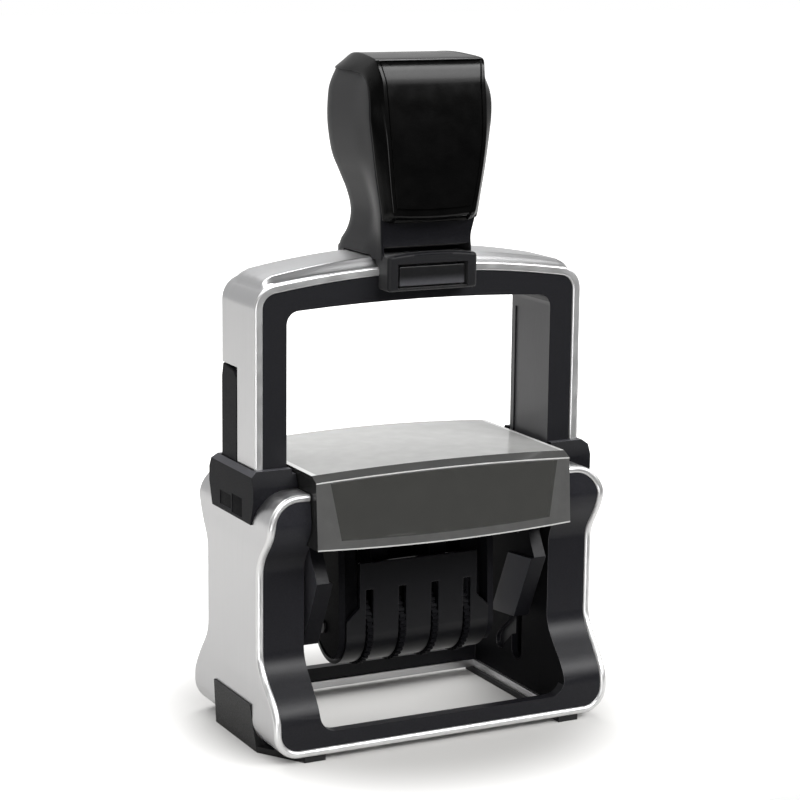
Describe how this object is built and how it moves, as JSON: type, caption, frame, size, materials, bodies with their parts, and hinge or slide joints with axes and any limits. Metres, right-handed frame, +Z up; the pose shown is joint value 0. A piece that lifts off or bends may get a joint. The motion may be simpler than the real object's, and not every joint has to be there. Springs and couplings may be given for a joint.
{
  "type": "self inking date stamp",
  "caption": "Self inking date stamp: a sprung bail handle over a flared, metal-banded base, with a flip-over print carrier, setting wheels, smoked hood and slide-out ink cartridge.",
  "frame": {"origin": "middle of the footprint, on the table under the feet", "axes": "+Z up, -Y the front with the index window, +X to the right seen from the front"},
  "size_m": [0.0862, 0.047, 0.1545],
  "materials": {
    "satin_metal": "satin, finely brushed",
    "black_plastic": "satin moulded",
    "mechanism_plastic": "fine matt moulded",
    "foot_rubber": "matt",
    "smoked_window": "smoked, see-through",
    "index_card": "matt card",
    "ink_foam": "ink-soaked felt",
    "soft_grip": "soft-touch",
    "gloss_cap": "high gloss",
    "steel": "bright",
    "print_rubber": "matt"
  },
  "bodies": {
    "base": {"base_band": "satin_metal", "base_frame": "black_plastic", "left_foot": "foot_rubber", "right_foot": "foot_rubber", "left_collar": "black_plastic", "right_collar": "black_plastic", "hood": "smoked_window", "index_card": "index_card", "pad_bridge": "black_plastic", "left_spring": "steel", "right_spring": "steel"},
    "handle": {"bail_band": "satin_metal", "bail_liner": "black_plastic", "left_guide": "black_plastic", "right_guide": "black_plastic", "grip_core": "soft_grip", "grip_cap": "gloss_cap", "front_panel": "gloss_cap", "left_pivot_pin": "steel", "right_pivot_pin": "steel"},
    "carrier": {"carrier_frame": "mechanism_plastic", "text_plate": "mechanism_plastic", "text_die": "print_rubber", "date_cover": "mechanism_plastic", "left_end_plate": "mechanism_plastic", "right_end_plate": "mechanism_plastic", "wheel_shaft": "steel", "shaft_sleeve": "mechanism_plastic", "print_bar": "steel", "left_cam_pin": "steel", "right_cam_pin": "steel", "day_tens_band": "print_rubber", "day_units_band": "print_rubber", "month_band": "print_rubber", "year_band": "print_rubber"},
    "lock": {"lock_bar": "black_plastic"},
    "cartridge": {"ink_tray": "mechanism_plastic", "ink_pad": "ink_foam"},
    "day_tens_dial": {"day_tens_wheel": "mechanism_plastic"},
    "day_units_dial": {"day_units_wheel": "mechanism_plastic"},
    "month_dial": {"month_wheel": "mechanism_plastic"},
    "year_dial": {"year_wheel": "mechanism_plastic"}
  },
  "joints": [
    {"name": "handle_press", "type": "slide", "parent": "base", "child": "handle", "axis": [0, 0, -1], "range_m": [0, 0.033], "stiffness_N_per_m": 450, "springref_m": -0.02, "deforming": ["left_spring", "right_spring"]},
    {"name": "carrier_flip", "type": "hinge", "parent": "handle", "child": "carrier", "pos_m": [0, 0, 0.04425], "axis": [1, 0, 0], "range_deg": [0, 180]},
    {"name": "lock_push", "type": "slide", "parent": "handle", "child": "lock", "axis": [0, 1, 0], "range_m": [0, 0.0025]},
    {"name": "cartridge_pull", "type": "slide", "parent": "base", "child": "cartridge", "axis": [0, 1, 0], "range_m": [0, 0.05]},
    {"name": "day_tens_turn", "type": "hinge", "parent": "carrier", "child": "day_tens_dial", "pos_m": [0, 0, 0.0235], "axis": [1, 0, 0], "continuous": true},
    {"name": "day_units_turn", "type": "hinge", "parent": "carrier", "child": "day_units_dial", "pos_m": [0, 0, 0.0235], "axis": [1, 0, 0], "continuous": true},
    {"name": "month_turn", "type": "hinge", "parent": "carrier", "child": "month_dial", "pos_m": [0, 0, 0.0235], "axis": [1, 0, 0], "continuous": true},
    {"name": "year_turn", "type": "hinge", "parent": "carrier", "child": "year_dial", "pos_m": [0, 0, 0.0235], "axis": [1, 0, 0], "continuous": true}
  ],
  "couplings": [
    {"joint": "carrier_flip", "follows": "handle_press", "rad_per_m": 95.2}
  ]
}
